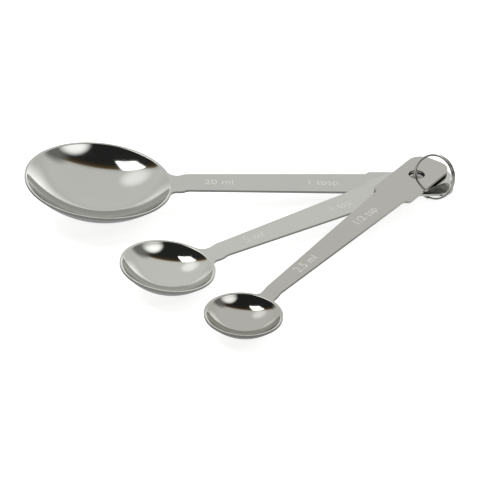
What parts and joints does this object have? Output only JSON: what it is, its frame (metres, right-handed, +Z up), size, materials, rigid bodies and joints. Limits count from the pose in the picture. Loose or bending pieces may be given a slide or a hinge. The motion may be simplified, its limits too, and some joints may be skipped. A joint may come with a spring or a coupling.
{
  "type": "measuring spoon set",
  "caption": "Nesting measuring spoons with round bowls and long flat handles, each pressed from one steel sheet and fanned out on a split ring that joins them at the handle ends.",
  "frame": {"origin": "middle of the set's footprint on the table that it lies on", "axes": "+Z up from the table, -X towards the tablespoon's bowl, -Y towards the half teaspoon's bowl"},
  "size_m": [0.1808, 0.1378, 0.0188],
  "materials": {
    "polished_steel": "polished stainless steel sheet",
    "ring_steel": "bright spring steel wire"
  },
  "bodies": {
    "tablespoon": {"tablespoon": "polished_steel"},
    "teaspoon": {"teaspoon": "polished_steel"},
    "half_teaspoon": {"half_teaspoon": "polished_steel"},
    "split_ring": {"split_ring": "ring_steel"}
  },
  "joints": [
    {"name": "teaspoon_fan", "type": "hinge", "parent": "tablespoon", "child": "teaspoon", "pos_m": [0.07462, 0.05201, 0.0058], "axis": [0, 0, 1], "range_deg": [-4, 20]},
    {"name": "half_teaspoon_fan", "type": "hinge", "parent": "teaspoon", "child": "half_teaspoon", "pos_m": [0.07462, 0.05201, 0.0058], "axis": [0, 0, 1], "range_deg": [-2, 20]},
    {"name": "ring_turn", "type": "hinge", "parent": "tablespoon", "child": "split_ring", "pos_m": [0.08182, 0.04835, 0.00937], "axis": [-0.5801, -0.7266, 0.3681], "continuous": true}
  ]
}
